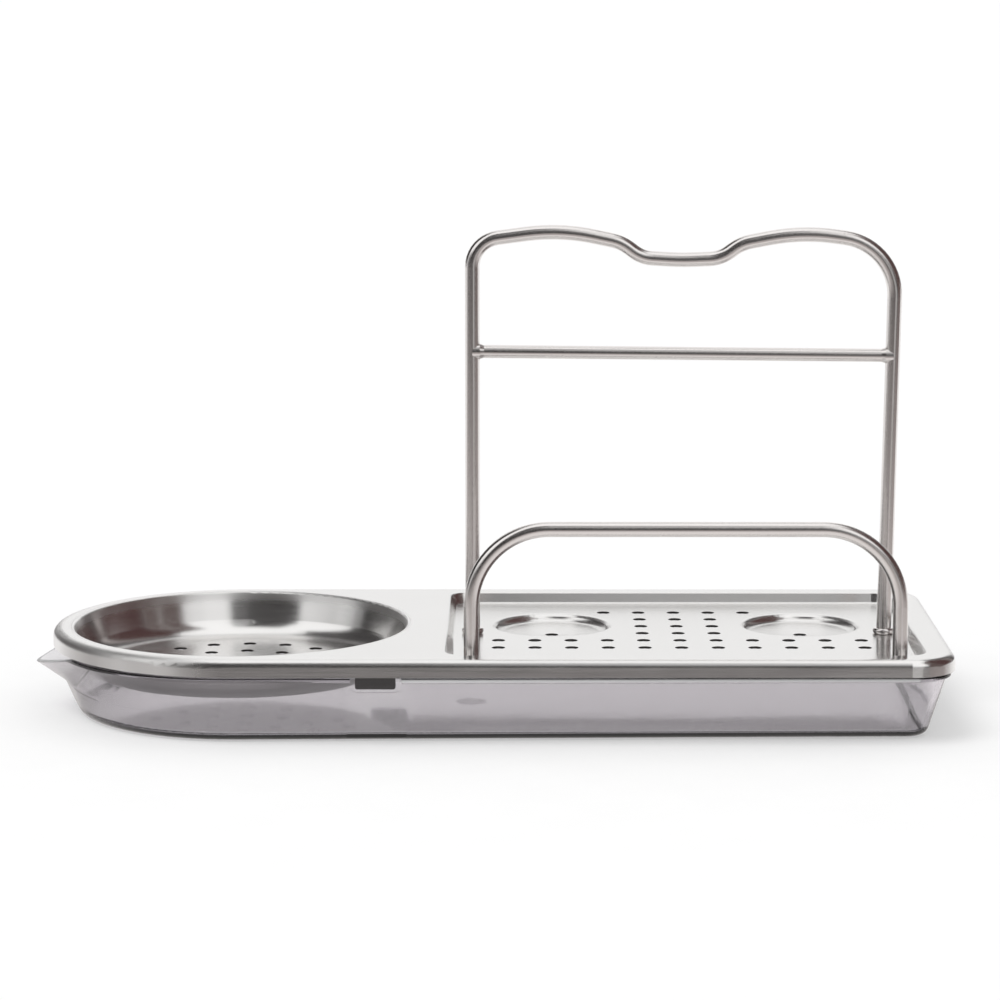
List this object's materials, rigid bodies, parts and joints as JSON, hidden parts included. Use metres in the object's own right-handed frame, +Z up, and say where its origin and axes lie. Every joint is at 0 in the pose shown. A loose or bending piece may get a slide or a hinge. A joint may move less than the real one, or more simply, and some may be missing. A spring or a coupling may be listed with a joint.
{
  "type": "sink caddy",
  "caption": "Sink caddy with a perforated steel tray, a round bowl, wire rails that hold a sponge and a brush, and a clear drip tray with a pouring spout that lifts apart.",
  "frame": {"origin": "on the counter, under the middle of the steel tray's length and depth", "axes": "+X along the tray from the round bowl end to the square end, -Y towards the user, +Z up"},
  "size_m": [0.3135, 0.13, 0.1676],
  "materials": {
    "smoky_plastic": "clear, lightly smoked, glossy",
    "tray_steel": "brushed along the length, spun in the bowl",
    "wire_steel": "satin drawn wire",
    "fastener_steel": "plain"
  },
  "bodies": {
    "tub": {"drip_tray": "smoky_plastic"},
    "steel_tray": {"top_tray": "tray_steel", "tall_rail": "wire_steel", "cross_bar": "wire_steel", "front_rail": "wire_steel", "tall_rail_collar_left": "wire_steel", "tall_rail_collar_right": "wire_steel", "front_rail_collar_left": "wire_steel", "front_rail_collar_right": "wire_steel", "rail_screws": "fastener_steel", "rail_washers": "fastener_steel"}
  },
  "joints": [
    {"name": "tray_lift", "type": "slide", "parent": "tub", "child": "steel_tray", "axis": [0, 0, 1], "range_m": [0, 0.06]}
  ]
}
